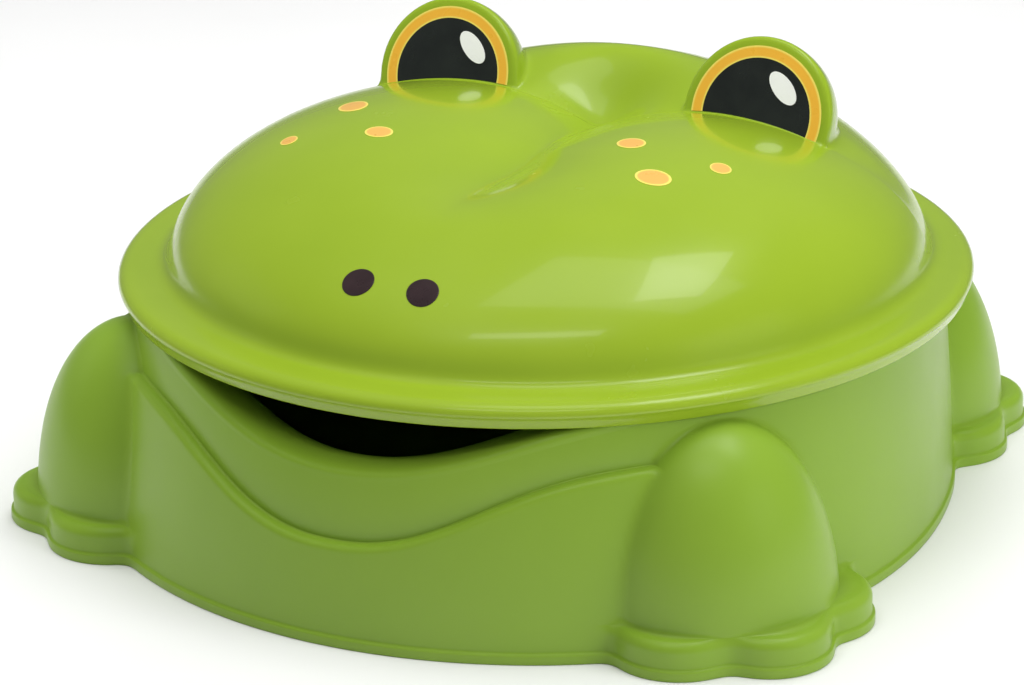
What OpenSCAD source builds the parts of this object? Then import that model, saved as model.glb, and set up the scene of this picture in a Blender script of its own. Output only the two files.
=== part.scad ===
// Round children's sandbox with a lift-off cover, shaped as a frog.
// X runs to the frog's left, -Y is the front, +Z is up. The origin is on the
// ground, under the middle of the cover. Angles called "turn" are measured
// about the Z axis from the front, positive towards +X.

/* [Tub] */
// Height of the tub's rim
tub_h = 245; // [220:5:280]
// Gap between the rim and the cover's skirt, sides and back
side_clear = 27; // [20:1:34]
// Gap between the rim and the cover's skirt, at the front
front_clear = 9; // [7:1:16]
// Flare of the wall from the rim to the ground, sides and back
side_flare = 14; // [8:1:30]
// Flare of the wall from the rim to the ground, at the chin
chin_flare = 45; // [20:1:60]
// Width of the rounded rim
rim_w = 45; // [36:1:56]
// Radius of the rim's two rounded edges
rim_round = 14; // [8:1:16]
// Lean of the sand basin's wall, from the rim in to the floor
basin_lean = 17; // [8:1:50]
// Depth of the mouth below the rim
mouth_depth = 71; // [50:1:85]
// Half angle over which the lip rises to the rim
lip_turn = 27; // [22:1:32]

/* [Jaw and base] */
// How far the jaw panel stands out of the wall
jaw_step = 9; // [4:1:12]
// Drop from the lip to the jaw panel's top edge, at the middle
jaw_gap = 72; // [54:1:80]
// Drop from the rim to the jaw panel's top edge, beside the legs
jaw_drop = 60; // [50:1:85]
// Half angle over which the jaw's edge rises
jaw_turn = 22; // [18:1:26]
// Height of the base band around the tub
band_h = 11; // [6:1:14]
// How far the base band stands out
band_step = 3; // [1:0.5:5]

/* [Legs and feet] */
// Radius of a leg at the ground
leg_r = 108; // [90:1:115]
// Drop from the rim to the knees
knee_drop = 33; // [28:1:65]
// Turn of the front legs
front_leg_turn = 49; // [46:1:56]
// Distance of the front legs' axes outside the foot of the side wall
front_leg_out = 9; // [-6:1:20]
// Turn of the back legs
back_leg_turn = 133; // [128:1:138]
// Distance of the back legs' axes inside the foot of the side wall
back_leg_in = 27; // [10:1:40]
// Height of the feet
foot_h = 38; // [30:1:44]

/* [Cover] */
// Outside diameter of the cover
lid_d = 900; // [890:2:940]
// Width of the flat flange around the dome
flange_w = 49; // [40:1:58]
// Height of the cover's outer edge
lid_edge_h = 24; // [18:1:34]
// Rise of the face part of the dome above the flange
face_rise = 154; // [140:1:170]
// Rise of the back part of the dome above the flange
back_rise = 186; // [175:1:205]
// Depth of the valley between the cheeks
valley_depth = 45; // [30:1:50]
// Distance of each eye from the middle plane
eye_x = 184; // [170:1:200]
// Distance of the eyes' centres behind the middle
eye_y = 130; // [110:1:150]
// Height of the eyes' centres above the flange
eye_rise = 134; // [126:1:140]
// Radius of the eye bumps
eye_r = 83; // [78:1:90]
// Lean of the eyes' flat faces
eye_lean = 20.5; // [12:0.5:28]

/* [Decals] */
// Outer radius of the eye rings
ring_r = 74; // [68:1:76]
// Radius of the pupils
pupil_r = 61; // [50:1:64]
// Thickness of the decals
decal_t = 0.6; // [0.4:0.1:1]

/* [Fits] */
// Wall thickness of both mouldings
wall = 4; // [3:0.5:5]
// Gap between the cover and the rim it rests on
seat_gap = 0.3; // [0.2:0.1:0.6]
// Gap under each decal
decal_gap = 0.2; // [0.1:0.1:0.3]

/* [Hidden] */

green = [0.52, 0.72, 0.18];
orange = [0.94, 0.66, 0.2];
brown = [0.2, 0.13, 0.14];
dark = [0.12, 0.15, 0.14];

lid_r = lid_d / 2;
dome_r = lid_r - flange_w;
// The dome is set back from the middle of the cover, as the snout needs room
dome_y = 8;
dome_front_y = dome_y - dome_r;
// The skirt stands a little inside the cover's widest edge
skirt_in = 1;
skirt_inner_r = lid_r - skirt_in - wall;
flange_z = tub_h + seat_gap + wall;
face_end_y = eye_y - 2;
eye_z = flange_z + eye_rise;
eye_depth = 1.14 * eye_r;

// Exponents of the dome's profiles: low is pointed, high is boxy
nose_fall = 1.42;
cheek_fall = 2.59;
back_fall = 2.37;
flank_fall = 1.37;
valley_half_w = 79;
valley_soft = 9;
valley_start_y = dome_front_y + 133;
valley_run = 217;
back_ramp = 56;
nostril_y = dome_front_y + 59;

// Chin: full within chin_turn of the front, gone after a further chin_fade
chin_turn = 33;
chin_fade = 72;
// The wall bows outwards slightly on its way down
wall_bow = 1.5;
jaw_end_turn = front_leg_turn;
foot_tier = 3;
corner_r = 20;

rim_side_r = skirt_inner_r - side_clear;
rim_front_r = skirt_inner_r - front_clear;
foot_side_r = rim_side_r + side_flare;
foot_front_r = rim_front_r + chin_flare;
floor_r = rim_side_r - rim_w - corner_r - basin_lean;
lip_z = tub_h - mouth_depth;
jaw_low_z = lip_z - jaw_gap;
jaw_high_z = tub_h - jaw_drop;
leg_h = tub_h - knee_drop;
front_leg_r = foot_side_r + front_leg_out;
back_leg_r = foot_side_r - back_leg_in;

// Toes of a front foot: distance beyond the leg's axis, turn and radius
toes = [[41, 42, 70], [72, 51.3, 64], [31, 60, 63]];
// The back feet are the front feet, mirrored and moved in
back_toe_out = 2;
back_toe_turn = 183;

function clamp01(v) = min(1, max(0, v));
function smooth(v) = let (c = clamp01(v)) c * c * (3 - 2 * c);
// Quick start and soft end
function settle(v) = 1 - pow(1 - clamp01(v), 2);
function mix(a, b, s) = a + (b - a) * s;
function unit(v) = v / norm(v);
function at(r, turn, z) = [r * sin(turn), -r * cos(turn), z];

// Closed skin over rings of points, from a first point to a last point.
// Rings run anticlockwise from above, and from the top centre outwards.
module skin(first, rings, last) {
    n = len(rings[0]);
    m = len(rings);
    end = 1 + m * n;
    points = [first, for (ring = rings) for (p = ring) p, last];
    cap_a = [for (i = [0:n - 1]) [0, 1 + (i + 1) % n, 1 + i]];
    cap_b = [for (i = [0:n - 1]) [end, end - n + i, end - n + (i + 1) % n]];
    sides = [for (k = [0:m - 2]) for (i = [0:n - 1])
        let (a = 1 + k * n + i, b = 1 + k * n + (i + 1) % n)
        each [[a, b, b + n], [a, b + n, a + n]]];
    polyhedron(points, concat(cap_a, sides, cap_b), convexity = 8);
}

// ---- Tub ----

function chin(turn) = 1 - smooth((abs(turn) - chin_turn) / chin_fade);
function rim_r(turn) = mix(rim_side_r, rim_front_r, chin(turn));
function ground_r(turn) = mix(foot_side_r, foot_front_r, chin(turn));
function wall_r(turn, z) =
    mix(ground_r(turn), rim_r(turn), pow(max(z, 0) / tub_h, wall_bow));
function rise(turn, span, power) = 1 - exp(-pow(abs(turn) / span, power));
function lip(turn) = mix(lip_z, tub_h, rise(turn, lip_turn, 2.2));
function jaw(turn) = mix(jaw_low_z, jaw_high_z, rise(turn, jaw_turn, 2.4));
function jaw_out(turn) =
    jaw_step * (1 - smooth((abs(turn) - jaw_end_turn) / 8));
// Far side of an upright cylinder, seen from the middle: 0 where it is missed
function far_side(c, off, r) =
    abs(c * sin(off)) < r && abs(off) < 90
        ? c * cos(off) + sqrt(r * r - pow(c * sin(off), 2)) : 0;
function leg_w(z) = leg_r * sqrt(max(0, 1 - pow(z / leg_h, 2)));
function leg_out(turn, z) =
    max(far_side(front_leg_r, abs(turn) - front_leg_turn, leg_w(z)),
        far_side(back_leg_r, abs(turn) - back_leg_turn, leg_w(z)));
function foot_out(turn, grow) =
    max([for (t = toes)
        max(far_side(front_leg_r + t[0], abs(turn) - t[1], t[2] + grow),
            far_side(back_leg_r + back_toe_out + t[0],
                back_toe_turn - abs(turn) - t[1], t[2] + grow))]);
// Wall and legs at a height, with or without the jaw panel
function body_r(turn, z, panel) =
    max(wall_r(turn, z) + panel * jaw_out(turn), leg_out(turn, z));
function base_r(turn, z, grow) =
    max(body_r(turn, z, 1), foot_out(turn, grow));

fine = 2;
coarse = 6;
foot_half = 20;
function foot_near(turn) =
    min(abs(turn - front_leg_turn - 2), abs(turn - back_leg_turn + 2));
function half_turns(t = 0) = t > 179 ? []
    : concat([t], half_turns(t + (foot_near(t) < foot_half ? fine : coarse)));
half = half_turns();
turns = concat([for (t = half) t], [180],
    [for (k = [len(half) - 1:-1:1]) -half[k]]);

// One ring: every turn's radius less "in", at its height
function outer_ring(t) = let (top = lip(t), j = jaw(t), r = rim_r(t))
    let (z1 = j - 8, z2 = j + 1, z3 = top - rim_round)
    [
        [r - rim_w / 2, top],
        [r - rim_round, top],
        [r - rim_round * 0.3, top - rim_round * 0.3],
        [body_r(t, z3, 0), z3],
        [body_r(t, mix(z2, z3, 0.62), 0), mix(z2, z3, 0.62)],
        [body_r(t, mix(z2, z3, 0.45), 0), mix(z2, z3, 0.45)],
        [body_r(t, mix(z2, z3, 0.25), 0), mix(z2, z3, 0.25)],
        [body_r(t, z2, 0), z2],
        [max(leg_out(t, j - 1), wall_r(t, j - 1) + 0.7 * jaw_out(t)), j - 1],
        [body_r(t, z1, 1), z1],
        [body_r(t, mix(foot_h, z1, 0.66), 1), mix(foot_h, z1, 0.66)],
        [body_r(t, mix(foot_h, z1, 0.33), 1), mix(foot_h, z1, 0.33)],
        [body_r(t, foot_h + 0.5, 1), foot_h + 0.5],
        [base_r(t, foot_h, -foot_tier - 11), foot_h],
        [base_r(t, foot_h - 3, -foot_tier - 4), foot_h - 3],
        [base_r(t, foot_h - 11, -foot_tier), foot_h - 11],
        [base_r(t, band_h, -foot_tier), band_h],
        [max(base_r(t, band_h, 0), body_r(t, 0, 1) + band_step), band_h - 1],
        [max(base_r(t, 0, 0), body_r(t, 0, 1) + band_step), 0]
    ];
function basin_ring(t) = let (top = lip(t), r = rim_r(t) - rim_w)
    [
        [floor_r, wall],
        [floor_r + corner_r * 0.7, wall + corner_r * 0.3],
        [floor_r + corner_r, wall + corner_r],
        [mix(floor_r + corner_r, r, 0.5), mix(wall + corner_r, top - rim_round, 0.5)],
        [r, top - rim_round],
        [r + rim_round * 0.3, top - rim_round * 0.3],
        [r + rim_round, top]
    ];
// Underside, from the ground edge up inside the wall and down to the floor
function under_ring(t) = let (top = lip(t) - wall, j = jaw(t) - wall, r = rim_r(t))
    let (z1 = j - 8, z3 = top - rim_round)
    [
        [max(base_r(t, 0, 0), body_r(t, 0, 1) + band_step) - wall, 0],
        [base_r(t, band_h, -foot_tier) - wall, band_h],
        [base_r(t, foot_h - 15, -foot_tier) - wall, foot_h - 15],
        [base_r(t, foot_h - wall, -foot_tier - 11) - wall, foot_h - wall],
        [body_r(t, foot_h - wall + 1, 1) - wall, foot_h - wall + 1],
        [body_r(t, mix(foot_h, z1, 0.5), 1) - wall, mix(foot_h, z1, 0.5)],
        [body_r(t, z1, 1) - wall, z1],
        [body_r(t, j + 1, 0) - wall, j + 1],
        [body_r(t, mix(j, z3, 0.5), 0) - wall, mix(j, z3, 0.5)],
        [body_r(t, z3, 0) - wall, z3],
        [r - rim_round, top],
        [r - rim_w + rim_round, top],
        [r - rim_w + wall, top - rim_round],
        [floor_r + corner_r + wall, wall + corner_r],
        [floor_r + corner_r * 0.7 + wall, wall * 0.5 + corner_r * 0.3],
        [floor_r + wall, 0]
    ];

module tub() {
    columns = [for (t = turns) concat(basin_ring(t), outer_ring(t), under_ring(t))];
    rings = [for (k = [0:len(columns[0]) - 1])
        [for (i = [0:len(turns) - 1]) at(columns[i][k][0], turns[i], columns[i][k][1])]];
    color(green) skin([0, 0, wall], rings, [0, 0, 0]);
}

// ---- Cover ----

function dome(x, y, rise_h, end_fall, side_fall) =
    let (yy = y - dome_y, q = norm([x, yy]) / dome_r)
    let (side = x * x / (x * x + yy * yy + 0.001))
    flange_z + rise_h * sqrt(max(0, 1 - pow(q, mix(end_fall, side_fall, side))));
function valley(x, y) =
    valley_depth * exp(-norm([x, valley_soft]) / valley_half_w)
    * smooth((y - valley_start_y) / valley_run)
    * clamp01((dome_r - norm([x, y - dome_y])) / 60);
function face_z(x, y) = dome(x, y, face_rise, nose_fall, cheek_fall) - valley(x, y);
function plain_back_z(x, y) = dome(x, y, back_rise, back_fall, flank_fall);
function back_z(x, y) =
    let (full = plain_back_z(x, y), s = settle((y - face_end_y) / back_ramp))
    let (edge = abs(x) < 0.9 * dome_r ? face_z(x, face_end_y) : full)
    mix(min(full, edge, face_z(x, y)), full, s);
// Top of an eye bump behind its flat face, or 0 beside it
function bump_z(x, y) =
    let (s = sin(eye_lean), c = cos(eye_lean), a = eye_r, b = eye_depth)
    let (dx = abs(x) - eye_x, dy = y - eye_y)
    let (p = c * c / a / a + s * s / b / b)
    let (q = dy * s * c * (1 / a / a - 1 / b / b))
    let (w = dy * dy * (s * s / a / a + c * c / b / b) + dx * dx / a / a - 1)
    let (root = q * q - p * w)
    root > 0 ? eye_z + (sqrt(root) - q) / p : 0;

// Bottom edge of the eye's flat face, where it meets the cheek
function near_eye(x) = 1 - smooth((abs(abs(x) - eye_x) - eye_r - 6) / 50);
function face_edge(x) =
    let (z = face_z(x, face_end_y))
    [x, mix(face_end_y, eye_y + (z - eye_z) * tan(eye_lean), near_eye(x)), z];
// Top edge of the flat face; beside the eyes, the foot of the back dome
function face_top(x) =
    let (d = abs(x) - eye_x, w = sqrt(max(0, eye_r * eye_r - d * d)))
    abs(d) < eye_r
        ? [x, eye_y + w * sin(eye_lean), eye_z + w * cos(eye_lean)]
        : let (e = face_edge(x)) [x, e[1] + 1.5, max(e[2], back_z(x, e[1])) + 0.8];

rings_n = 20;
front_n = 36;
back_n = 24;
edge_turn = asin((face_end_y - dome_y) / dome_r);
function along(k) = 1 - pow(1 - k / rings_n, 1.5);
// Foot of the dome at an angle from +X, about the dome's own centre
function dome_foot(a) = [dome_r * cos(a), dome_y + dome_r * sin(a)];
front_feet = [for (i = [0:front_n])
    dome_foot(mix(-180 - edge_turn, edge_turn, i / front_n))];
back_feet = [for (i = [0:back_n])
    dome_foot(mix(edge_turn, 180 - edge_turn, (i + 0.12) / (back_n + 0.24)))];
function toward(foot, s) = [foot[0] * s, mix(face_end_y, foot[1], s)];
function front_point(i, s) =
    let (p = toward(front_feet[i], s))
    i == 0 || i == front_n ? face_edge(p[0]) : [p[0], p[1], face_z(p[0], p[1])];
// Behind the eyes the columns are pushed back, clear of the flat faces
back_push = 120;
function pushed(p) =
    let (d = max(0, face_top(p[0])[1] - face_end_y), y = p[1] - face_end_y)
    y > back_push ? p : [p[0], face_end_y + d + y * (1 - d / back_push)];
function back_point(i, s) =
    let (p = toward(back_feet[i], s), q = pushed(p))
    i == 0 || i == back_n ? face_top(p[0])
        : [q[0], q[1], max(back_z(q[0], q[1]), bump_z(q[0], q[1]))];
function dome_ring(s) = concat([for (i = [0:front_n]) front_point(i, s)],
    [for (i = [0:back_n]) back_point(i, s)]);
function flat_ring(r, z) =
    [for (f = concat(front_feet, back_feet)) concat(f * r / norm(f), z)];
function foot_ring(in, z) =
    [for (f = concat(front_feet, back_feet))
        [f[0] * (1 - in / dome_r), dome_y + (f[1] - dome_y) * (1 - in / dome_r), z]];

dome_rings = [for (k = [1:rings_n - 1]) dome_ring(along(k))];
middle = [0, face_end_y, face_z(0, face_end_y)];
outside_rings = concat([[for (p = dome_rings[0]) middle]], dome_rings,
    [foot_ring(0, flange_z)]);
function normal(k, i) = let (g = outside_rings, n = len(g[0]))
    unit(cross(g[k + 1][i] - g[k - 1][i],
        g[k][(i + 1) % n] - g[k][(i + n - 1) % n]));
inside_rings = [for (k = [rings_n - 1:-1:1])
    [for (i = [0:len(outside_rings[0]) - 1])
        outside_rings[k][i] - wall * normal(k, i)]];

module lid() {
    shoulder = 12;
    corner = 4;
    low = flange_z - lid_edge_h;
    skirt_r = lid_r - skirt_in;
    rim = [foot_ring(0, flange_z),
        flat_ring(lid_r - shoulder, flange_z),
        flat_ring(lid_r - corner, flange_z - 3),
        flat_ring(lid_r, flange_z - shoulder + 1),
        flat_ring(skirt_r, flange_z - shoulder),
        flat_ring(skirt_r, low),
        flat_ring(skirt_inner_r, low),
        flat_ring(skirt_inner_r, flange_z - shoulder),
        flat_ring(lid_r - shoulder - 1, flange_z - wall),
        foot_ring(wall, flange_z - wall)];
    color(green)
        skin(middle, concat(dome_rings, rim, inside_rings), middle - [0, 0, wall]);
}

// ---- Decals ----

// Places flat work on an eye's face; side is 1 on the frog's left, -1 right
module on_eye(side, lift) {
    translate([side * eye_x, eye_y, eye_z])
        rotate([90 - eye_lean, 0, 0]) translate([0, 0, decal_gap + lift]) children();
}

// The part of the eye's face that shows above the cheek
module above_cheek(side) {
    steps = 12;
    margin = 1.5;
    low = [for (k = [0:steps]) let (u = mix(-eye_r, eye_r, k / steps))
        [u, (face_edge(side * eye_x + u)[2] - eye_z) / cos(eye_lean) + margin]];
    polygon(concat(low, [[eye_r, eye_r], [-eye_r, eye_r]]));
}

module eye_ring(side) {
    color(orange) on_eye(side, 0) linear_extrude(decal_t)
        intersection() {
            difference() {
                circle(ring_r, $fn = 96);
                circle(pupil_r + 0.2, $fn = 96);
            }
            above_cheek(side);
        }
}

module eye_pupil(side) {
    color(dark) on_eye(side, 0) linear_extrude(decal_t)
        intersection() {
            circle(pupil_r, $fn = 96);
            above_cheek(side);
        }
}

// Highlight printed on the pupil, at the same side of both eyes
module eye_glint(side) {
    size = [10.7, 21];
    place = [26.5, 32];
    slant = 45;
    color("white") on_eye(side, decal_t + decal_gap) linear_extrude(decal_t)
        translate(place) rotate(slant) scale([size[0] / size[1], 1])
            circle(size[1], $fn = 48);
}

// Thin oval laid on the face: half sizes, and the slant of the first in plan
module spot(x, y, across, along, slant, paint) {
    sectors = 16;
    step = 0.5;
    slope_x = (face_z(x + step, y) - face_z(x - step, y)) / (2 * step);
    slope_y = (face_z(x, y + step) - face_z(x, y - step)) / (2 * step);
    out = unit([-slope_x, -slope_y, 1]);
    function plan(s, a) =
        let (u = across * s * cos(a), v = along * s * sin(a))
        let (p = u * cos(slant) - v * sin(slant), q = u * sin(slant) + v * cos(slant))
        [x + p / norm([1, slope_x]), y + q / norm([1, slope_y])];
    function lifted(p, h) = [p[0], p[1], face_z(p[0], p[1])] + out * h;
    function ring(s, h) =
        [for (i = [0:sectors - 1]) lifted(plan(s, 360 * i / sectors), h)];
    top = decal_gap + decal_t;
    color(paint) skin(lifted([x, y], top),
        [ring(0.5, top), ring(1, top), ring(1, decal_gap), ring(0.5, decal_gap)],
        lifted([x, y], decal_gap));
}

tub();
lid();
eye_ring(1);  // left_eye_ring
eye_pupil(1);  // left_eye_pupil
eye_glint(1);  // left_eye_glint
eye_ring(-1);  // right_eye_ring
eye_pupil(-1);  // right_eye_pupil
eye_glint(-1);  // right_eye_glint
spot(36, nostril_y, 18, 16.5, -50, brown);  // left_nostril
spot(-36, nostril_y, 18, 16.5, -50, brown);  // right_nostril
spot(113, -24, 17, 14, -27, orange);  // left_freckle_inner
spot(172, -96, 20, 16, -11, orange);  // left_freckle_middle
spot(221, -40, 12, 11, -36, orange);  // left_freckle_outer
spot(-149, -86, 16.5, 13, -15, orange);  // right_freckle_inner
spot(-220, -15, 20, 16, -45, orange);  // right_freckle_middle
spot(-247, -105, 12, 9.5, -50, orange);  // right_freckle_outer
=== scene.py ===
"""Frog-shaped sandbox with a lift-off cover: fine meshes, materials, light and camera.

Lengths inside the shape functions are in millimetres and angles called "turn" are in
degrees from the front (-Y) towards +X, as in the CAD; meshes are made in metres.
"""

import bpy
import numpy as np
from mathutils import Matrix, Vector

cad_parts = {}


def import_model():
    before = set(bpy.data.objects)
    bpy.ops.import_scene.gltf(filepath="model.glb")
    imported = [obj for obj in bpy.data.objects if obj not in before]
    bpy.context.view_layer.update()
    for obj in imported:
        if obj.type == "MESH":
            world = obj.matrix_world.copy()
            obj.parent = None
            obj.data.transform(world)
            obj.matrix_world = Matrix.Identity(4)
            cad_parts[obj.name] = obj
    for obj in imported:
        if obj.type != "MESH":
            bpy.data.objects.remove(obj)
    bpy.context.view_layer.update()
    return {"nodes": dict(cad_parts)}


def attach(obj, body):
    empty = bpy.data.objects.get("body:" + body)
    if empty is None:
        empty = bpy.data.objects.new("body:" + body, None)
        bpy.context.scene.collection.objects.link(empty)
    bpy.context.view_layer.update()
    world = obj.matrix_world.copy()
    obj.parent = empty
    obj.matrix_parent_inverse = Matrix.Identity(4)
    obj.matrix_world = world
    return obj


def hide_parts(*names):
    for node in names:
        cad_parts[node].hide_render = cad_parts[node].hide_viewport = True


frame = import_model()
MM = 0.001


# ---------------------------------------------------------------- small helpers

def clamp01(v):
    return np.clip(v, 0.0, 1.0)


def smooth(v):
    c = clamp01(v)
    return c * c * (3 - 2 * c)


def settle(v):
    """Quick start and soft end."""
    return 1 - (1 - clamp01(v)) ** 2


def mix(a, b, s):
    return a + (b - a) * s


def smax(a, b, k):
    """The larger of a and b, with a fillet about k wide where they cross."""
    h = np.maximum(k - np.abs(a - b), 0) / k
    return np.maximum(a, b) + h * h * k / 4


def smin(a, b, k):
    return -smax(-a, -b, k)


def sin_d(a):
    return np.sin(np.radians(a))


def cos_d(a):
    return np.cos(np.radians(a))


def spread(n, density):
    """n + 1 values from 0 to 1, closer together where density is high."""
    s = np.linspace(0, 1, 4001)
    total = np.concatenate([[0], np.cumsum(density((s[1:] + s[:-1]) / 2))])
    return np.interp(np.linspace(0, total[-1], n + 1), total, s)


def neighbours(grid):
    """Mean of the four neighbours of each point of a grid that closes round its columns."""
    up, down = grid.copy(), grid.copy()
    up[1:] = grid[:-1]
    down[:-1] = grid[1:]
    return (np.roll(grid, 1, 1) + np.roll(grid, -1, 1) + up + down) / 4


def soften(grid, weight, passes):
    """Moves points half way to their neighbours' mean, as far as weight lets them."""
    for _ in range(passes):
        grid = grid + 0.5 * weight[..., None] * (neighbours(grid) - grid)
    return grid


def project(p, steps, field):
    """Moves points onto the surface where field is zero."""
    e = 0.05
    for _ in range(steps):
        f = field(p)
        g = np.stack([(field(p + np.eye(3)[k] * e) - f) / e for k in range(3)], -1)
        move = f[..., None] * g / np.maximum((g ** 2).sum(-1, keepdims=True), 0.05)
        size = np.linalg.norm(move, axis=-1, keepdims=True)
        p = p - move * np.minimum(1, 6 / np.maximum(size, 1e-9))
    return p


def grid_normals(grid):
    """Outward normals of a grid whose rows run down from its pole."""
    around = np.roll(grid, -1, 1) - np.roll(grid, 1, 1)
    outwards = np.gradient(grid, axis=0)
    n = np.cross(outwards, around)
    return n / np.maximum(np.linalg.norm(n, axis=2, keepdims=True), 1e-9)


def skin_mesh(name, first, rings, last):
    """Closed skin over rings of points in millimetres, between two end points."""
    rings = np.asarray(rings)
    rows, cols = rings.shape[:2]
    points = np.concatenate([[first], rings.reshape(-1, 3), [last]]) * MM
    i = np.arange(cols)
    j = (i + 1) % cols
    end = 1 + rows * cols
    quads = []
    for k in range(rows - 1):
        a = 1 + k * cols
        quads.append(np.stack([a + i, a + cols + i, a + cols + j, a + j], 1))
    faces = [(0, int(1 + p), int(1 + q)) for p, q in zip(i, j)]
    faces += np.concatenate(quads).tolist()
    faces += [(int(end), int(end - cols + q), int(end - cols + p)) for p, q in zip(i, j)]
    return make_piece(name, points, faces)


def make_piece(name, points, faces):
    """Smooth-shaded mesh object from points in metres."""
    mesh = bpy.data.meshes.new(name)
    mesh.from_pydata(np.asarray(points).tolist(), [], faces)
    mesh.validate()
    mesh.shade_smooth()
    piece = bpy.data.objects.new(name, mesh)
    bpy.context.scene.collection.objects.link(piece)
    return piece


# ---------------------------------------------------------------- sizes, in millimetres

# Fits
WALL, SEAT_GAP = 4, 0.3

# Cover: LID_R is its widest edge, and the skirt hangs a little inside it
LID_R, FLANGE_W, SKIRT_IN, EDGE_H, EDGE_IN, SHOULDER_R = 450, 49, 1, 24, 5, 14
DOME_R, DOME_Y = LID_R - FLANGE_W, 8
DOME_FRONT_Y = DOME_Y - DOME_R
FACE_RISE, BACK_RISE, VALLEY_DEPTH = 154, 186, 45
# Exponents of the dome's profiles: low is pointed, high is boxy
NOSE_FALL, CHEEK_FALL, BACK_FALL, FLANK_FALL = 1.42, 2.59, 2.37, 1.37
# The valley starts over the snout, deepens over VALLEY_RUN and ends near the dome's foot
VALLEY_HALF_W, VALLEY_SOFT, VALLEY_RUN, VALLEY_WIDEN, VALLEY_END = 79, 7, 217, 60, 60
VALLEY_START = DOME_FRONT_Y + 133

# Tub
TUB_H, RIM_W, RIM_ROUND, BASIN_LEAN, CORNER_R = 245, 45, 14, 17, 20
SKIRT_INNER_R = LID_R - SKIRT_IN - WALL
RIM_SIDE, RIM_FRONT = SKIRT_INNER_R - 27, SKIRT_INNER_R - 9
FOOT_SIDE, FOOT_FRONT = RIM_SIDE + 14, RIM_FRONT + 45
FLOOR_R = RIM_SIDE - RIM_W - CORNER_R - BASIN_LEAN
CHIN_TURN, CHIN_FADE, WALL_BOW = 33, 72, 1.5
BAND_H, BAND_STEP = 11, 3
# The lip is a narrow edge in front that falls away into the mouth
LIP_Z, LIP_TURN, LIP_ROUND, LIP_FALL_W, LIP_FALL_H = TUB_H - 71, 27, 9, 35, 32
JAW_LOW, JAW_HIGH, JAW_TURN = LIP_Z - 72, TUB_H - 60, 22
# The jaw panel stands out of the wall; a groove runs over its ledge
JAW_STEP, JAW_ROUND, JAW_GROOVE, GROOVE_FADE = 9, 7, 4, 18

# A leg is LEG_WIDE times wider along the wall than it is deep, and full at the knee
LEG_R, LEG_WIDE, LEG_H, LEG_FULL, LEG_FILLET = 108, 1.12, TUB_H - 28, 2.35, 4
FRONT_LEG_TURN, FRONT_LEG_R = 49, FOOT_SIDE + 9
BACK_LEG_TURN, BACK_LEG_R = 133, FOOT_SIDE - 27
LEGS = ((FRONT_LEG_TURN, FRONT_LEG_R), (BACK_LEG_TURN, BACK_LEG_R))
# Toes of a front foot: distance beyond the leg's axis, turn and radius
TOES = ((41, 42, 70), (72, 51.3, 64), (31, 60, 63))
BACK_TOE_OUT, BACK_TOE_TURN = 2, 183
# How far beside its axis a leg's mesh is smoothed, and the turn where the front ends
LEG_SPAN, FRONT_END = 22, 70
FOOT_H, FOOT_TIER, FOOT_ROUND, TOE_FILLET, FOOT_FILLET = 38, 3, 11, 5, 2

# Height of the cover's flange on the tub, and the eyes over it
FLANGE_Z = TUB_H + SEAT_GAP + WALL
EYE_X, EYE_Y, EYE_Z, EYE_R, EYE_LEAN = 184, 130, FLANGE_Z + 134, 84.5, 20.5
EYE_DEPTH, EYE_ROUND = 1.14 * EYE_R, 7
# Fillets where an eye meets the face, where it meets the back, and at the dome's foot
FACE_FILLET, BACK_FILLET, DOME_FILLET = 3, 8, 16
RING_R, PUPIL_R = 74, 61
# The back dome climbs over BACK_RAMP beside the eyes and over MIDDLE_RAMP between them
FACE_END, BACK_RAMP, MIDDLE_RAMP, BACK_PUSH, CREASE_FADE = EYE_Y - 2, 56, 112, 120, 90


# Spots on the face: name, x, y, half lengths across and along, and slant in degrees
FRECKLES = (
    ("left_freckle_inner", 113, -24, 17, 14, -27),
    ("left_freckle_middle", 172, -96, 20, 16, -11),
    ("left_freckle_outer", 221, -40, 12, 11, -36),
    ("right_freckle_inner", -149, -86, 16.5, 13, -15),
    ("right_freckle_middle", -220, -15, 20, 16, -45),
    ("right_freckle_outer", -247, -105, 12, 9.5, -50))
NOSTRILS = (
    ("left_nostril", 36, DOME_FRONT_Y + 59, 18, 16.5, -50),
    ("right_nostril", -36, DOME_FRONT_Y + 59, 18, 16.5, -50))


# ---------------------------------------------------------------- tub

def chin(turn):
    """1 over the chin in front, 0 round the sides and back."""
    return 1 - smooth((np.abs(turn) - CHIN_TURN) / CHIN_FADE)


def rim_r(turn):
    """Radius of the wall's top; the chin pushes it out in front."""
    return mix(RIM_SIDE, RIM_FRONT, chin(turn))


def wall_r(turn, z):
    """Radius of the wall, which bows from the ground up to the rim."""
    ground = mix(FOOT_SIDE, FOOT_FRONT, chin(turn))
    return mix(ground, rim_r(turn), (np.maximum(z, 0) / TUB_H) ** WALL_BOW)


def rise(turn, span, power):
    """From 0 in the middle of the mouth to 1 at its corners."""
    return 1 - np.exp(-(np.abs(turn) / span) ** power)


def lip(turn):
    """Height of the tub's top edge, low at the mouth."""
    return mix(LIP_Z, TUB_H, rise(turn, LIP_TURN, 2.2))


def jaw(turn):
    """Height of the jaw panel's ledge."""
    return mix(JAW_LOW, JAW_HIGH, rise(turn, JAW_TURN, 2.4))


def jaw_out(turn):
    """How far the panel stands out; it ends under the front legs."""
    return JAW_STEP * (1 - smooth((np.abs(turn) - FRONT_LEG_TURN) / 8))


def wall_side(turn, z, panel):
    """The wall with the jaw panel, or above it with the groove over the panel's ledge."""
    over = np.exp(-np.maximum(z - jaw(turn), 0) / GROOVE_FADE) * JAW_GROOVE / JAW_STEP
    return wall_r(turn, z) + jaw_out(turn) * (panel - (1 - panel) * over)


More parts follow.
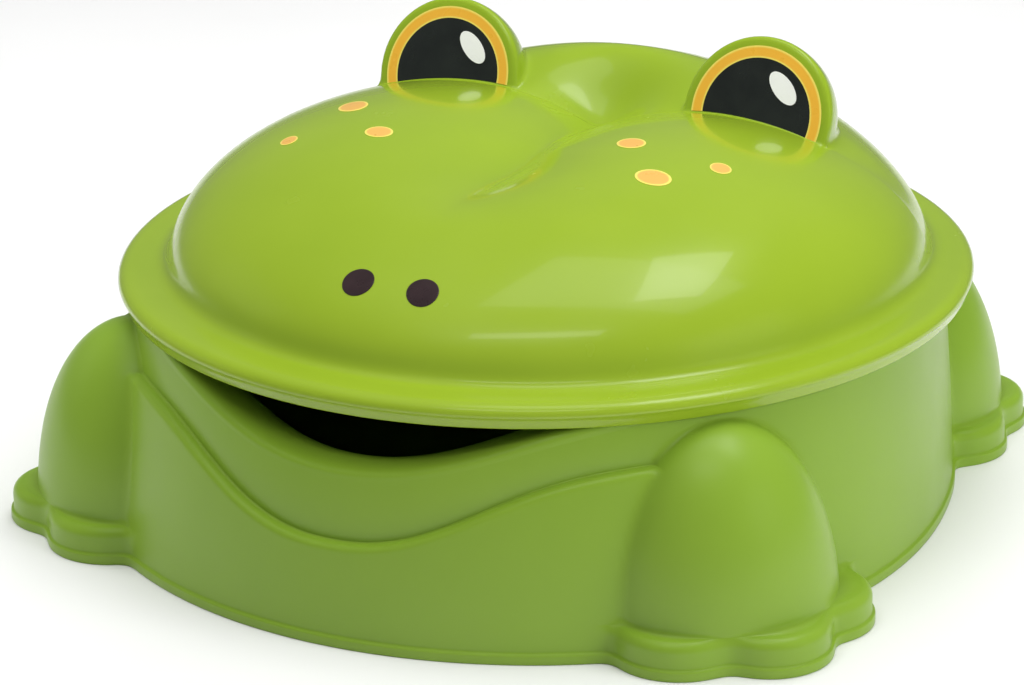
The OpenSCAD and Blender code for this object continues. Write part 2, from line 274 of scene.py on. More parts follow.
def far_side(c, off, r, wide=1.0):
    """Far side of an upright oval cylinder seen from the middle; it falls off fast beside it."""
    a = cos_d(off) ** 2 + (sin_d(off) / wide) ** 2
    disc = (c * cos_d(off)) ** 2 - a * (c * c - r * r)
    far = (c * cos_d(off) + np.sign(disc) * np.sqrt(np.abs(disc)) * np.where(disc < 0, 3, 1)) / a
    return np.where((np.abs(off) < 90) & (r > 0), far, 0)


def leg_out(turn, z, inset=0):
    """Radius of the legs' outside from the middle of the tub, or 0 beside them."""
    w = LEG_R * np.sqrt(np.maximum(0, 1 - (np.maximum(z, 0) / LEG_H) ** LEG_FULL)) - inset
    return np.maximum(far_side(FRONT_LEG_R, turn - FRONT_LEG_TURN, w, LEG_WIDE),
                      far_side(BACK_LEG_R, turn - BACK_LEG_TURN, w, LEG_WIDE))


def foot_out(turn, grow):
    """Radius of the toes' outside, with toes grown by grow."""
    out = np.zeros_like(turn)
    for r, t, size in TOES:
        out = smax(out, far_side(FRONT_LEG_R + r, turn - t, size + grow), TOE_FILLET)
        back = far_side(BACK_LEG_R + BACK_TOE_OUT + r, BACK_TOE_TURN - turn - t, size + grow)
        out = smax(out, back, TOE_FILLET)
    return out


def body_r(turn, z, panel):
    """Outside of wall and legs; panel is 1 on the jaw panel and 0 above it."""
    return smax(wall_side(turn, z, panel), leg_out(turn, z), LEG_FILLET)


def base_r(turn, z, grow):
    """Outside at the height of the feet."""
    return smax(body_r(turn, z, 1), foot_out(turn, grow), FOOT_FILLET)


def inner_r(turn, z, panel):
    """Inside of the double wall, which keeps well under the knees' flat tops."""
    return smax(wall_side(turn, z, panel) - WALL, leg_out(turn, z + 4 * WALL, WALL),
                LEG_FILLET)


def inner_base(turn, z, grow):
    return smax(inner_r(turn, z, 1), foot_out(turn, grow - WALL), FOOT_FILLET)


def quarter(n):
    """Sines and cosines of n + 1 even steps through a right angle."""
    a = np.linspace(0, np.pi / 2, n + 1)
    return list(zip(np.sin(a), np.cos(a)))


def knee_density(share):
    """Rows lie closer together where the knees are nearly flat."""
    return 1 + 6 * np.exp(-((share - 0.27) / 0.07) ** 2)


def tub_rows(t):
    """Rows of (radius, height) at the turns t: basin, outside from the top, underside.

    Also how far each row stands out on the jaw panel, from 0 to 1, and the numbers of the
    wall's first row, of the row above the jaw's ledge and of the row above the feet.
    """
    top, edge, r = lip(t), jaw(t), rim_r(t)
    up = rise(t, LIP_TURN, 2.2)
    bend = mix(LIP_ROUND, RIM_ROUND, up)
    fall_w, fall_h = mix(LIP_FALL_W, RIM_ROUND, up), mix(LIP_FALL_H, RIM_ROUND, up)
    flat = np.ones_like(t)
    inner = r - RIM_W
    basin = [(FLOOR_R * s * flat, WALL * flat) for s in (0.03, 0.2, 0.4, 0.6, 0.8, 0.93)]
    for s, c in quarter(6):
        basin.append(((FLOOR_R + CORNER_R * s) * flat, (WALL + CORNER_R * (1 - c)) * flat))
    for f in np.linspace(0.1, 0.9, 9):
        basin.append((mix(FLOOR_R + CORNER_R, inner, f),
                      mix(WALL + CORNER_R, top - fall_h, f)))
    for s, c in quarter(8):
        basin.append((inner + fall_w * (1 - c), top - fall_h * (1 - s)))

    # The rim's outer edge runs out over the knees where they stand wider than it
    wall_top = top - bend
    wide = body_r(t, wall_top, 0) - (r - bend)
    outer = [((inner + fall_w + r - bend) / 2, top)]
    for s, c in quarter(10):
        outer.append((r - bend + wide * s ** 0.75, wall_top + bend * c ** 0.75))
    wall_start = len(outer)
    for f in spread(42, knee_density)[1:]:
        z = mix(wall_top, edge + 0.6, f)
        outer.append((body_r(t, z, 0), z))
    crease = len(outer) - 1
    panel = [0] * len(outer)
    for s, c in quarter(8):
        out, down = s ** 0.7, 1 - c ** 0.7
        z = edge - JAW_ROUND * down
        outer.append((body_r(t, z, out), z))
        panel.append(out)
    for f in np.linspace(0, 1, 34)[1:]:
        z = mix(edge - JAW_ROUND, FOOT_H + 0.6, f)
        outer.append((body_r(t, z, 1), z))
    knee_end = len(outer) - 1
    for s, c in quarter(6):
        z = FOOT_H - FOOT_ROUND * (1 - c)
        outer.append((base_r(t, z, -FOOT_TIER - FOOT_ROUND * (1 - s)), z * flat))
    for z in (20, BAND_H + 2.2, BAND_H + 0.7):
        outer.append((base_r(t, z, -FOOT_TIER), z * flat))
    lower = smax(base_r(t, 0, 0), body_r(t, 0, 1) + BAND_STEP, FOOT_FILLET)
    for back, z in ((2.2, BAND_H), (0.9, BAND_H - 0.3), (0.2, BAND_H - 1.1), (0, BAND_H - 2.4),
                    (0, 5), (0, 1.4), (0.5, 0.3), (1.4, 0)):
        outer.append((lower - back, z * flat))

    # The inner skin of the double wall, from the ground up and down again under the basin
    below_ledge, at_ledge, at_rim = edge - WALL - 8, edge - WALL, top - WALL - bend
    at_basin = top - WALL - fall_h
    low = FOOT_H - FOOT_ROUND - WALL
    under = [(inner_base(t, 0, 0), 0 * flat), (inner_base(t, 0, 0), 5 * flat),
             (inner_base(t, BAND_H, -FOOT_TIER), BAND_H * flat),
             (inner_base(t, low, -FOOT_TIER), low * flat),
             (inner_base(t, FOOT_H - WALL, -FOOT_TIER - FOOT_ROUND), (FOOT_H - WALL) * flat),
             (inner_r(t, FOOT_H - 3, 1), (FOOT_H - 3) * flat)]
    for f in (0.25, 0.5, 0.75, 1):
        z = mix(FOOT_H, below_ledge, f)
        under.append((inner_r(t, z, 1), z))
    for f in (0.02, 0.2, 0.4, 0.6, 0.8, 1):
        z = mix(at_ledge, at_rim, f)
        under.append((inner_r(t, z, 0), z))
    under += [(r - bend, top - WALL), (inner + fall_w, top - WALL),
              (inner + WALL + 0.3 * fall_w, mix(at_basin, top - WALL, 0.7)),
              (inner + WALL, at_basin),
              (mix(FLOOR_R + CORNER_R, inner, 0.5) + WALL, mix(WALL + CORNER_R, at_basin, 0.5)),
              ((FLOOR_R + CORNER_R + WALL) * flat, (WALL + CORNER_R) * flat),
              ((FLOOR_R + CORNER_R * 0.7 + WALL) * flat, (WALL / 2 + CORNER_R * 0.3) * flat),
              ((FLOOR_R + WALL) * flat, 0 * flat),
              (FLOOR_R * 0.5 * flat, 0 * flat)]
    start = len(basin)
    panel += [1] * (len(outer) - len(panel))
    panel = [0] * start + panel + [1] * len(under)
    return basin + outer + under, panel, (start + wall_start, start + crease, start + knee_end)


def tub_field(p, panel):
    """About the distance outside the wall and the legs."""
    radius = np.hypot(p[..., 0], p[..., 1])
    turn = np.degrees(np.arctan2(np.abs(p[..., 0]), -p[..., 1]))
    z = np.maximum(p[..., 2], 0)
    solid = radius - wall_side(turn, z, panel)
    for leg_turn, leg_r in LEGS:
        dx = np.abs(p[..., 0]) - leg_r * sin_d(leg_turn)
        dy = p[..., 1] + leg_r * cos_d(leg_turn)
        away = (dx * sin_d(leg_turn) - dy * cos_d(leg_turn)) / LEG_R
        along = (dx * cos_d(leg_turn) + dy * sin_d(leg_turn)) / (LEG_R * LEG_WIDE)
        up = (z / LEG_H) ** (LEG_FULL - 1)
        value = away ** 2 + along ** 2 + up * z / LEG_H - 1
        slope = np.sqrt((2 * away) ** 2 + (2 * along / LEG_WIDE) ** 2
                        + (LEG_FULL * up * LEG_R / LEG_H) ** 2) / LEG_R
        solid = smin(solid, value / (slope + 1e-4), LEG_FILLET)
    return solid


def build_tub():
    """The tub as one double-walled shell, made on one side and mirrored."""
    step = 0.1
    t = np.arange(0, 180 + step / 2, step)
    rows, panel, (wall_start, crease, knee_end) = tub_rows(t)
    # Columns are spaced evenly by length between these turns, in each row
    anchors = [0, FRONT_LEG_TURN, (FRONT_LEG_TURN + BACK_LEG_TURN) / 2, BACK_LEG_TURN, 180]
    columns = [72, 62, 58, 70]
    rings, turns = [], []
    for r, z in rows:
        line = np.stack([r * sin_d(t), -r * cos_d(t), z], 1)
        length = np.concatenate([[0], np.cumsum(np.linalg.norm(np.diff(line, axis=0), axis=1))])
        at = [length[round(a / step)] for a in anchors]
        want = np.concatenate([np.linspace(a, b, n, endpoint=False)
                               for a, b, n in zip(at, at[1:], columns)] + [[at[-1]]])
        half = np.stack([np.interp(want, length, line[:, k]) for k in range(3)], 1)
        half[0, 0] = half[-1, 0] = 0
        mirror = half[-2:0:-1] * (-1, 1, 1)
        rings.append(np.concatenate([half, mirror]))
        turns.append(np.interp(want, length, t))
    grid = np.array(rings)
    turns = np.array(turns)
    turns = np.concatenate([turns, turns[:, -2:0:-1]], 1)

    # Legs run softly into the wall; the jaw's ledge and the foot's top edge stay crisp
    off = np.minimum(np.abs(turns - FRONT_LEG_TURN), np.abs(turns - BACK_LEG_TURN))
    near = smooth((LEG_SPAN - off) / 4)
    row = np.arange(len(grid))[:, None]
    calm = clamp01((row - wall_start - 1) / 4) * clamp01((knee_end - 1 - row) / 2)
    beside_ledge = clamp01((np.abs(row - crease - 2) - 3) / 3 + (8 - off) / 4)
    calm = np.where(turns < FRONT_END, calm * beside_ledge, calm)
    panel = np.array(panel)[:, None] * np.ones_like(turns)
    leg = (near > 0) & (row > wall_start) & (row < knee_end)
    for _ in range(6):
        grid = soften(grid, near * calm, 1)
        grid[leg] = project(grid[leg], 1, lambda p: tub_field(p, panel[leg]))
    # The ends of the toes are softened along the rows, and the tiers stay crisp
    inner_rows = 16
    foot = ((row >= knee_end) & (row < len(grid) - inner_rows)) * near
    for _ in range(4):
        sides = (np.roll(grid, 1, 1) + np.roll(grid, -1, 1)) / 2
        grid = grid + 0.5 * foot[..., None] * (sides - grid)
    return skin_mesh("tub_shell", (0, 0, WALL), grid, (0, 0, 0))


# ---------------------------------------------------------------- cover

def root(s):
    """Square root of the size, with the sign kept."""
    return np.sign(s) * np.sqrt(np.abs(s))


def crown(x, y):
    """Height of the dome over the flange, below zero outside its foot."""
    yy = y - DOME_Y
    q = np.hypot(x, yy) / DOME_R
    side = x * x / (x * x + yy * yy + 1e-3)
    face = root(FACE_RISE ** 2 * (1 - q ** mix(NOSE_FALL, CHEEK_FALL, side)))
    back = root(BACK_RISE ** 2 * (1 - q ** mix(BACK_FALL, FLANK_FALL, side)))
    # The valley's bottom is sharp on the face and widens behind it
    soft = VALLEY_WIDEN * smooth((y - FACE_END + 10) / VALLEY_WIDEN)
    across = np.hypot(x, VALLEY_SOFT + soft) - soft
    valley = (VALLEY_DEPTH * np.exp(-across / VALLEY_HALF_W)
              * smooth((y - VALLEY_START) / VALLEY_RUN) * clamp01((1 - q) * DOME_R / VALLEY_END))
    v = (y - FACE_END) / mix(MIDDLE_RAMP, BACK_RAMP, smooth((np.abs(x) - EYE_X) / EYE_R))
    # The crease between face and back fades in the valley
    climb = mix(smooth(v), settle(v), smooth(np.abs(x) / CREASE_FADE))
    return mix(face - valley, back, climb)


def dome_field(x, y, z):
    """About the distance outside the dome."""
    e = 0.2

    def square(a, b):
        h = crown(a, b)
        return h * np.abs(h)

    s = square(x, y)
    gx = (square(x + e, y) - s) / e
    gy = (square(x, y + e) - s) / e
    up = z - FLANGE_Z
    return (up * np.abs(up) - s) / np.sqrt(gx ** 2 + gy ** 2 + 4 * up ** 2 + 1)


def eye_axes(x, y, z):
    """Across, up along and behind an eye's flat face."""
    dy, dz = y - EYE_Y, z - EYE_Z
    s, c = sin_d(EYE_LEAN), cos_d(EYE_LEAN)
    return np.abs(x) - EYE_X, dy * s + dz * c, dy * c - dz * s


def lid_field(p):
    """About the distance outside the cover's top: dome, eyes and flange with their fillets."""
    x, y, z = p[..., 0], p[..., 1], p[..., 2]
    u, v, w = eye_axes(x, y, z)
    a, b = EYE_R, EYE_DEPTH
    k0 = np.sqrt((u ** 2 + v ** 2) / a ** 2 + w ** 2 / b ** 2)
    k1 = np.sqrt((u ** 2 + v ** 2) / a ** 4 + w ** 2 / b ** 4) + 1e-9
    eye = smax(k0 * (k0 - 1) / k1, -w, EYE_ROUND)
    solid = smin(dome_field(x, y, z), eye, mix(FACE_FILLET, BACK_FILLET, smooth((w + 2) / 14)))
    return smin(solid, z - FLANGE_Z, DOME_FILLET)


def face_z(x, y):
    """Height of the face, carried on level behind its back edge."""
    return FLANGE_Z + crown(x, np.minimum(y, FACE_END))


def face_edge(x):
    """Back edge of the face, which meets each eye's leaning front."""
    z = face_z(x, np.full_like(x, FACE_END))
    near = 1 - smooth((np.abs(np.abs(x) - EYE_X) - EYE_R - 6) / 50)
    eye_front = EYE_Y + (z - EYE_Z) * np.tan(np.radians(EYE_LEAN))
    return np.stack([x, mix(FACE_END, eye_front, near), z], -1)


def face_top(x):
    """Top edge of the eyes' flat fronts, and just behind the face beside them."""
    d = np.abs(x) - EYE_X
    w = np.sqrt(np.maximum(0, EYE_R ** 2 - d ** 2))
    on = np.stack([x, EYE_Y + w * sin_d(EYE_LEAN), EYE_Z + w * cos_d(EYE_LEAN)], -1)
    e = face_edge(x)
    return np.where((np.abs(d) < EYE_R)[..., None], on, e + (0, 1.5, 0.8))


def bump_z(x, y):
    """Top of the eye bumps behind their flat fronts, or 0 beside them."""
    across, behind = np.abs(x) - EYE_X, y - EYE_Y
    s, c = sin_d(EYE_LEAN), cos_d(EYE_LEAN)
    a, b = EYE_R, EYE_DEPTH
    square = c * c / a / a + s * s / b / b
    cross = behind * s * c * (1 / a / a - 1 / b / b)
    rest = behind * behind * (s * s / a / a + c * c / b / b) + across * across / a / a - 1
    disc = cross * cross - square * rest
    return np.where(disc > 0, EYE_Z + (np.sqrt(np.maximum(disc, 0)) - cross) / square, 0)


# The dome's grid has its pole at the middle of the face's back edge. Its columns run from
# there to the dome's foot: over the face, up the strips at the eyes' fronts, over the back.
# LIFT holds the strips' steps.
FACE_TURN = float(np.degrees(np.arcsin((FACE_END - DOME_Y) / DOME_R)))
LIFT = (1 - np.cos(np.linspace(0, np.pi, 14)))[1:-1] / 2


def ring_density(share):
    """Rings lie closer together at the ends of the eyes and at the dome's foot."""
    x = share * DOME_R * cos_d(FACE_TURN)
    ends = np.exp(-np.abs(x - EYE_X + EYE_R) / 8) + np.exp(-np.abs(x - EYE_X - EYE_R) / 8)
    return 1 + 2.2 * ends + 3 * np.exp(-(1 - share) / 0.012)


def ends_density(share):
    """Columns lie closer together where the face meets the strips at the eyes."""
    return 1 + 2.4 * (np.exp(-share / 0.02) + np.exp(-(1 - share) / 0.02))


def dome_columns(angles):
    """Points in plan from the pole to the dome's foot, at these angles from +X."""
    share = spread(128, ring_density)[1:]
    foot = np.stack([DOME_R * cos_d(angles), DOME_Y + DOME_R * sin_d(angles)], -1)
    middle = np.array([0, FACE_END])
    return middle + share[:, None, None] * (foot[None] - middle)


def face_points(p):
    """Points of the face, whose last part is drawn on to the eyes' leaning fronts."""
    x, y = p[..., 0], p[..., 1]
    drop = FACE_END - face_edge(x)[..., 1]
    y = y - drop * clamp01(1 - (FACE_END - y) / 70)
    points = np.stack([x, y, face_z(x, y)], -1)
    points[:, 0], points[:, -1] = face_edge(p[:, 0, 0]), face_edge(p[:, -1, 0])
    return points


def back_points(p):
    """Points of the back dome, pushed back clear of the eyes' fronts."""
    d = np.maximum(0, face_top(p[..., 0])[..., 1] - FACE_END)
    y = p[..., 1] - FACE_END
    y = np.where(y > BACK_PUSH, y, d + y * (1 - d / BACK_PUSH))
    x, y = p[..., 0], y + FACE_END
    return np.stack([x, y, np.maximum(FLANGE_Z + crown(x, y), bump_z(x, y))], -1)


def flange_points(angles):
    """Rings over the flange; columns that share a foot angle are fanned out a little."""
    fan = np.unwrap(np.radians(angles))
    for _ in range(40):
        ext = np.concatenate([[fan[-1] - 2 * np.pi], fan, [fan[0] + 2 * np.pi]])
        fan = 0.5 * fan + 0.25 * (ext[:-2] + ext[2:])
    foot = np.stack([DOME_R * np.cos(fan), DOME_Y + DOME_R * np.sin(fan)], -1)
    out = foot / np.linalg.norm(foot, axis=1, keepdims=True) * (LID_R - SHOULDER_R)
    level = np.full((len(foot), 1), FLANGE_Z)
    return [np.concatenate([mix(foot, out, f), level], 1)
            for f in (0, 0.03, 0.07, 0.12, 0.19, 0.3, 0.45, 0.63, 0.82, 1)]


def lid_top():
    """Grid of points over the cover's top, from its pole out to the flange's shoulder."""
    front = mix(-180 - FACE_TURN, FACE_TURN, spread(176, ends_density))
    back = mix(FACE_TURN, 180 - FACE_TURN, spread(150, ends_density))[1:-1]
    p = dome_columns(front)
    faces = face_points(p)
    top_l, top_r = face_top(p[:, -1, 0]), face_top(p[:, 0, 0])
    strip_l = mix(faces[:, -1:], top_l[:, None], LIFT[None, :, None])
    strip_r = mix(top_r[:, None], faces[:, :1], LIFT[None, :, None])
    backs = back_points(dome_columns(back))
    dome = np.concatenate([faces, strip_l, top_l[:, None], backs, top_r[:, None], strip_r], 1)

    at_left = np.full(len(LIFT) + 1, FACE_TURN)
    flange = flange_points(np.concatenate([front, at_left, back, 180 - at_left]))
    grid = np.concatenate([dome[:-1], flange])

    free = np.ones(grid.shape[:2])
    free[:2] = 0
    free[-1] = 0
    shoulder = grid[-1].copy()
    grid = project(grid, 4, lid_field)
    for _ in range(14):
        grid = project(soften(grid, free, 1), 1, lid_field)
    grid = project(grid, 2, lid_field)
    grid[-1] = shoulder
    return grid


def build_lid():
    """The cover as one shell: top, flange, hanging edge and the inside under the dome."""
    top = lid_top()
    pole = top[0].mean(0)
    pole = project(pole[None], 4, lid_field)[0]
    ways = top[-1, :, :2] / np.linalg.norm(top[-1, :, :2], axis=1, keepdims=True)

    def circle(r, z):
        return np.concatenate([ways * r, np.full((len(ways), 1), z)], 1)

    rim = [circle(LID_R - SHOULDER_R * (1 - s), FLANGE_Z - 10.5 * (1 - c))
           for s, c in quarter(8)[1:]]
    # The parting line under the shoulder, and the edge that hangs from it
    for back, down in ((0.1, 11.4), (0.5, 12), (SKIRT_IN, 12.5), (2.5, 17),
                       (EDGE_IN - 0.5, EDGE_H - 1.2), (EDGE_IN, EDGE_H - 0.3),
                       (EDGE_IN + 0.8, EDGE_H), (EDGE_IN + WALL, EDGE_H),
                       (SKIRT_IN + 0.5 + WALL, 12), (SHOULDER_R - 1, WALL)):
        rim.append(circle(LID_R - back, FLANGE_Z - down))
    inner = (top - WALL * grid_normals(top))[-2:1:-3]
    rings = np.concatenate([top, rim, inner])
    return skin_mesh("cover_shell", pole, rings, pole - np.array([0, 0, WALL]))


# ---------------------------------------------------------------- decals

def surface(x, y):
    return FLANGE_Z + crown(x, y)


def spot(name, node, x, y, across, along, slant):
    """Thin oval film laid on the face, with its distance from the middle stored."""
    sectors, circles, lift, thick = 56, 9, 0.15, 0.35
    s = np.concatenate([[0.12], np.linspace(0.25, 0.94, circles - 2), [0.985, 1]])
    a = np.linspace(0, 2 * np.pi, sectors, endpoint=False)
    e = 0.5
    sx = float(surface(x + e, y) - surface(x - e, y)) / (2 * e)
    sy = float(surface(x, y + e) - surface(x, y - e)) / (2 * e)
    out = np.array([-sx, -sy, 1]) / np.sqrt(1 + sx * sx + sy * sy)
    c, n = cos_d(slant), sin_d(slant)

    def layer(scale, height):
        u, v = across * scale * np.cos(a), along * scale * np.sin(a)
        px = x + (u * c - v * n) / np.hypot(1, sx)
        py = y + (u * n + v * c) / np.hypot(1, sy)
        return np.stack([px, py, surface(px, py)], 1) + out * height

    top = [layer(f, lift + thick) for f in s[:-1]] + [layer(s[-1], lift + thick - 0.12)]
    rings = top + [layer(1, lift), layer(0.5, lift)]
    middle = np.array([x, y, float(surface(x, y))])
    piece = skin_mesh(name, middle + out * (lift + thick), rings, middle + out * lift)
    shade = piece.data.attributes.new("from_middle", "FLOAT", "POINT")
    values = [0] + [f for f in s for _ in a] + [1] * sectors + [0.5] * sectors + [0]
    shade.data.foreach_set("value", np.array(values, np.float32))
    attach(piece, "cover")
    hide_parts(node)
    return piece


# ---------------------------------------------------------------- materials

class Nodes:
    """A material with a Principled shader, and shorthand for its nodes."""

    def __init__(self, name):
        self.material = bpy.data.materials.new(name)
        self.material.use_nodes = True
        self.tree = self.material.node_tree
        self.shader = self.tree.nodes["Principled BSDF"]
        self.place = self.add("ShaderNodeTexCoord").outputs["Object"]

    def add(self, kind, **values):
        node = self.tree.nodes.new(kind)
        for key, value in values.items():
            setattr(node, key, value)
        return node

    def link(self, a, b):
        self.tree.links.new(a, b)

    def noise(self, scale, detail=2.0, roughness=0.5, stretch=(1, 1, 1)):
        node = self.add("ShaderNodeTexNoise")
        node.inputs["Scale"].default_value = scale
        node.inputs["Detail"].default_value = detail
        node.inputs["Roughness"].default_value = roughness
        source = self.place
        if stretch != (1, 1, 1):
            mapping = self.add("ShaderNodeMapping")
            mapping.inputs["Scale"].default_value = stretch
            self.link(source, mapping.inputs["Vector"])
            source = mapping.outputs["Vector"]
        self.link(source, node.inputs["Vector"])
        return node.outputs["Fac"]

    def ramp(self, fac, stops):
        node = self.add("ShaderNodeValToRGB")
        points = node.color_ramp.elements
        while len(points) < len(stops):
            points.new(0.5)
        for point, (position, colour) in zip(points, stops):
            point.position = position
            point.color = (*colour, 1)
        self.link(fac, node.inputs["Fac"])
        return node.outputs["Color"]

    def span(self, fac, low, high, a=0.3, b=0.7):
        node = self.add("ShaderNodeMapRange")
        for key, value in (("From Min", a), ("From Max", b), ("To Min", low), ("To Max", high)):
            node.inputs[key].default_value = value
        self.link(fac, node.inputs["Value"])
        return node.outputs["Result"]

    def math(self, operation, a, b=None):
        node = self.add("ShaderNodeMath", operation=operation)
        for socket, value in zip(node.inputs, (a, b)):
            if value is None:
                continue
            if isinstance(value, (int, float)):
                socket.default_value = value
            else:
                self.link(value, socket)
        return node.outputs["Value"]

    def bump(self, height, distance, strength=1.0, under=None):
        node = self.add("ShaderNodeBump")
        node.inputs["Distance"].default_value = distance
        node.inputs["Strength"].default_value = strength
        self.link(height, node.inputs["Height"])
        if under is not None:
            self.link(under, node.inputs["Normal"])
        return node.outputs["Normal"]

    def set(self, **values):
        for key, value in values.items():
            self.shader.inputs[key.replace("_", " ")].default_value = value

    def into(self, **links):
        for key, socket in links.items():
            self.link(socket, self.shader.inputs[key.replace("_", " ")])


def cover_plastic():
    m = Nodes("cover_green")
    tone = m.noise(3.1, 3.0, 0.55)
    colour = m.ramp(tone, ((0.3, (0.268, 0.400, 0.016)), (0.7, (0.300, 0.436, 0.022))))
    rough = m.span(m.noise(9.0, 4.0, 0.6), 0.20, 0.28)
    # Slow waves left by moulding, and fine orange peel
    waves = m.bump(m.noise(16.0, 1.0), 0.0006, 0.5)
    peel = m.bump(m.noise(900.0, 2.0), 0.00002, 0.6, waves)
    m.into(Base_Color=colour, Roughness=rough, Normal=peel)
    m.set(IOR=1.45, Coat_Weight=0.45, Coat_Roughness=0.05)
    return m.material


def tub_plastic():
    m = Nodes("tub_green")
    tone = m.noise(2.6, 3.0, 0.55)
    colour = m.ramp(tone, ((0.3, (0.208, 0.352, 0.026)), (0.7, (0.236, 0.388, 0.032))))
    rough = m.span(m.noise(7.0, 4.0, 0.6), 0.30, 0.40)
    waves = m.bump(m.noise(14.0, 1.0), 0.0006, 0.5)
    grain = m.bump(m.noise(650.0, 3.0, 0.6), 0.00006, 0.8, waves)
    m.into(Base_Color=colour, Roughness=rough, Normal=grain)
    m.set(IOR=1.48)
    return m.material


def film(name, stops, fac, roughness=0.3):
    """Printed vinyl whose colours follow fac."""
    m = Nodes(name)
    colour = m.ramp(fac(m), stops)
    rough = m.span(m.noise(40.0, 3.0), roughness - 0.05, roughness + 0.05)
    m.into(Base_Color=colour, Roughness=rough, Normal=m.bump(m.noise(700.0), 0.00003, 0.5))
    m.set(IOR=1.45, Coat_Weight=0.4, Coat_Roughness=0.1)
    return m.material


def from_axis(side):
    """Distance from an eye's axis in its face's plane, as a share of the ring's radius."""
    def fac(m):
        split = m.add("ShaderNodeSeparateXYZ")
        m.link(m.place, split.inputs["Vector"])
        x = m.math("SUBTRACT", split.outputs["X"], side * EYE_X * MM)
        y = m.math("SUBTRACT", split.outputs["Y"], EYE_Y * MM)
        z = m.math("SUBTRACT", split.outputs["Z"], EYE_Z * MM)
        up = m.math("ADD", m.math("MULTIPLY", y, float(sin_d(EYE_LEAN))),
                    m.math("MULTIPLY", z, float(cos_d(EYE_LEAN))))
        square = m.math("ADD", m.math("MULTIPLY", x, x), m.math("MULTIPLY", up, up))
        return m.math("DIVIDE", m.math("SQRT", square), RING_R * MM)
    return fac


def from_middle(m):
    """Distance from a spot's middle as a share of its size, stored by spot()."""
    node = m.add("ShaderNodeAttribute", attribute_name="from_middle")
    return node.outputs["Fac"]


def mottle(m):
    """Faint unevenness of a print of one colour."""
    return m.noise(30.0, 3.0)


ORANGE, YELLOW = (0.900, 0.470, 0.045), (0.920, 0.740, 0.140)
PALE_ORANGE = (0.800, 0.440, 0.095)


def ring_stops():
    """Orange with a thin yellow line at the pupil and at the ring's outer edge."""
    inner = PUPIL_R / RING_R
    return ((inner + 0.012, YELLOW), (inner + 0.035, ORANGE), (0.965, ORANGE), (0.985, YELLOW))


def give(piece, material):
    """Makes this the piece's only material."""
    piece.data.materials.clear()
    piece.data.materials.append(material)


# ---------------------------------------------------------------- object

tub = build_tub()
give(tub, tub_plastic())
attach(tub, "tub")
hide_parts("tub")

lid = build_lid()
give(lid, cover_plastic())
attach(lid, "cover")
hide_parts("lid")

freckle_film = film("freckle_film", ((0.0, PALE_ORANGE), (0.82, PALE_ORANGE), (0.89, YELLOW)),
                    from_middle)
nostril_film = film("nostril_film", ((0.35, (0.022, 0.011, 0.013)), (0.65, (0.034, 0.018, 0.020))),
                    mottle)
for name, *place in FRECKLES:
    piece = spot(name + "_film", name, *place)
    give(piece, freckle_film)
for name, *place in NOSTRILS:
    piece = spot(name + "_film", name, *place)
    give(piece, nostril_film)

pupil_film = film("pupil_film", ((0.35, (0.009, 0.012, 0.011)), (0.65, (0.014, 0.018, 0.016))),
                  mottle, 0.25)
glint_film = film("glint_film", ((0.35, (0.93, 0.93, 0.93)), (0.65, (0.97, 0.97, 0.97))), mottle)
for side, word in ((1, "left"), (-1, "right")):
    ring_film = film(word + "_ring_film", ring_stops(), from_axis(side))
    for part, material in (("ring", ring_film), ("pupil", pupil_film), ("glint", glint_film)):
        give(frame["nodes"][f"{word}_eye_{part}"], material)


# ---------------------------------------------------------------- floor, light, camera

def floor():
    """Pale plain studio floor, far wider than the view."""
    size, cells = 9.0, 12
    line = np.linspace(-size, size, cells + 1)
    points = [(x, y, 0) for y in line for x in line]
    faces = []
    for r in range(cells):
        for c in range(cells):
            a = r * (cells + 1) + c
            faces.append((a, a + 1, a + cells + 2, a + cells + 1))
    piece = make_piece("floor", points, faces)
    m = Nodes("floor_pale")
    colour = m.ramp(m.noise(1.5, 3.0), ((0.3, (0.86, 0.86, 0.855)), (0.7, (0.89, 0.89, 0.885))))
    m.into(Base_Color=colour)
    m.set(Roughness=0.75)
    give(piece, m.material)


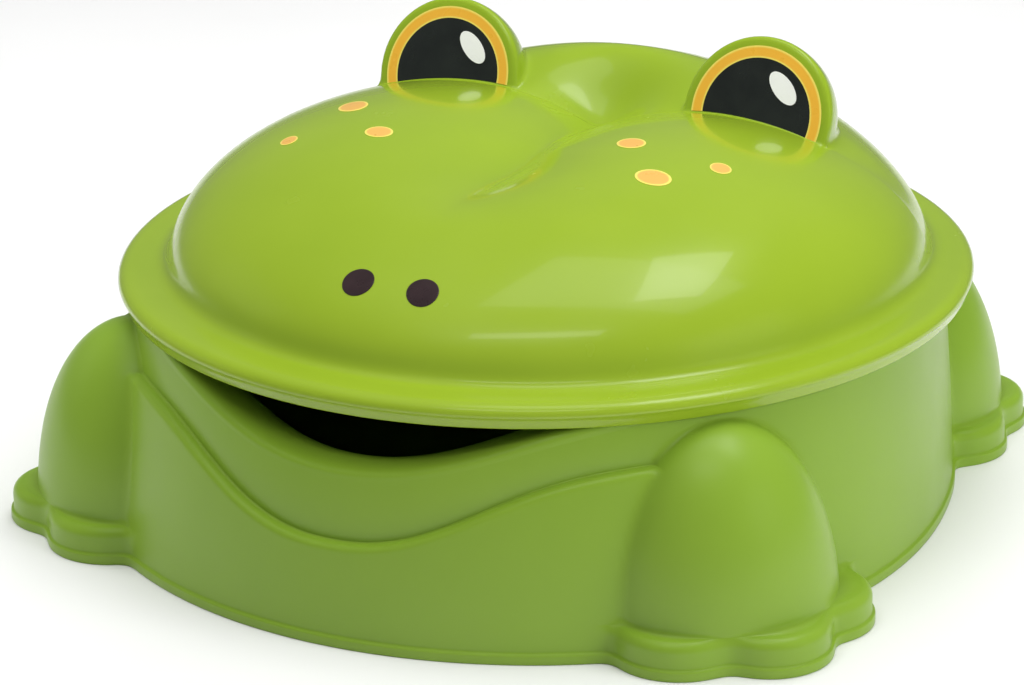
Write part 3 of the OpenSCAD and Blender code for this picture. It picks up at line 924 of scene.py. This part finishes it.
# Only the strips and the window are mirrored in the plastic; the fills just light it
def area_light(name, place, target, width, height, power, mirrored=True):
    data = bpy.data.lights.new(name, "AREA")
    data.shape = "RECTANGLE"
    data.size, data.size_y = width, height
    data.energy = power
    light = bpy.data.objects.new(name, data)
    light.location = place
    light.visible_glossy = mirrored
    light.rotation_euler = (Vector(target) - Vector(place)).to_track_quat("-Z", "Y").to_euler()
    bpy.context.scene.collection.objects.link(light)


def world():
    """Dim white light from all round."""
    w = bpy.data.worlds.new("studio")
    w.use_nodes = True
    w.node_tree.nodes["Background"].inputs["Color"].default_value = (1, 1, 1, 1)
    w.node_tree.nodes["Background"].inputs["Strength"].default_value = 0.18
    bpy.context.scene.world = w


def camera():
    """Long lens from the front on the frog's left, a little above it."""
    data = bpy.data.cameras.new("camera")
    data.lens = 138.57
    data.sensor_width = 36
    data.shift_x, data.shift_y = -0.0331, -0.0702
    cam = bpy.data.objects.new("camera", data)
    right = Vector((0.89181, 0.45217, -0.01472))
    up = Vector((-0.14145, 0.30959, 0.94029))
    back = right.cross(up)
    turn = Matrix((right, up, back)).transposed().to_4x4()
    cam.matrix_world = Matrix.Translation((1.7915, -3.4875, 1.6428)) @ turn
    bpy.context.scene.collection.objects.link(cam)
    bpy.context.scene.camera = cam


floor()
world()
camera()
area_light("overhead strip", (0.65, 0.16, 3.0), (0.65, 0.16, 0), 2.5, 1.15, 9)
area_light("overhead fill", (-0.2, 0.3, 3.1), (0, 0, 0), 3.2, 2.4, 58, mirrored=False)
area_light("front fill", (0.2, -1.7, 3.2), (0, 0, 0.1), 2.4, 1.0, 19, mirrored=False)
area_light("front strip", (0.5, -1.5, 3.0), (0.2, 0, 0.1), 1.6, 0.3, 4)
area_light("window", (0.75, 0.42, 2.7), (0, 0, 0.3), 1.1, 0.7, 7)
area_light("right fill", (3.4, -0.5, 1.5), (0, 0, 0.15), 2.0, 1.6, 64, mirrored=False)
area_light("left fill", (-3.3, -0.6, 1.8), (0, 0, 0.15), 2.0, 1.6, 42, mirrored=False)
area_light("back fill", (-0.6, 2.8, 2.2), (0, 0, 0.3), 2.4, 1.6, 30, mirrored=False)
bpy.context.scene.view_settings.view_transform = "Standard"
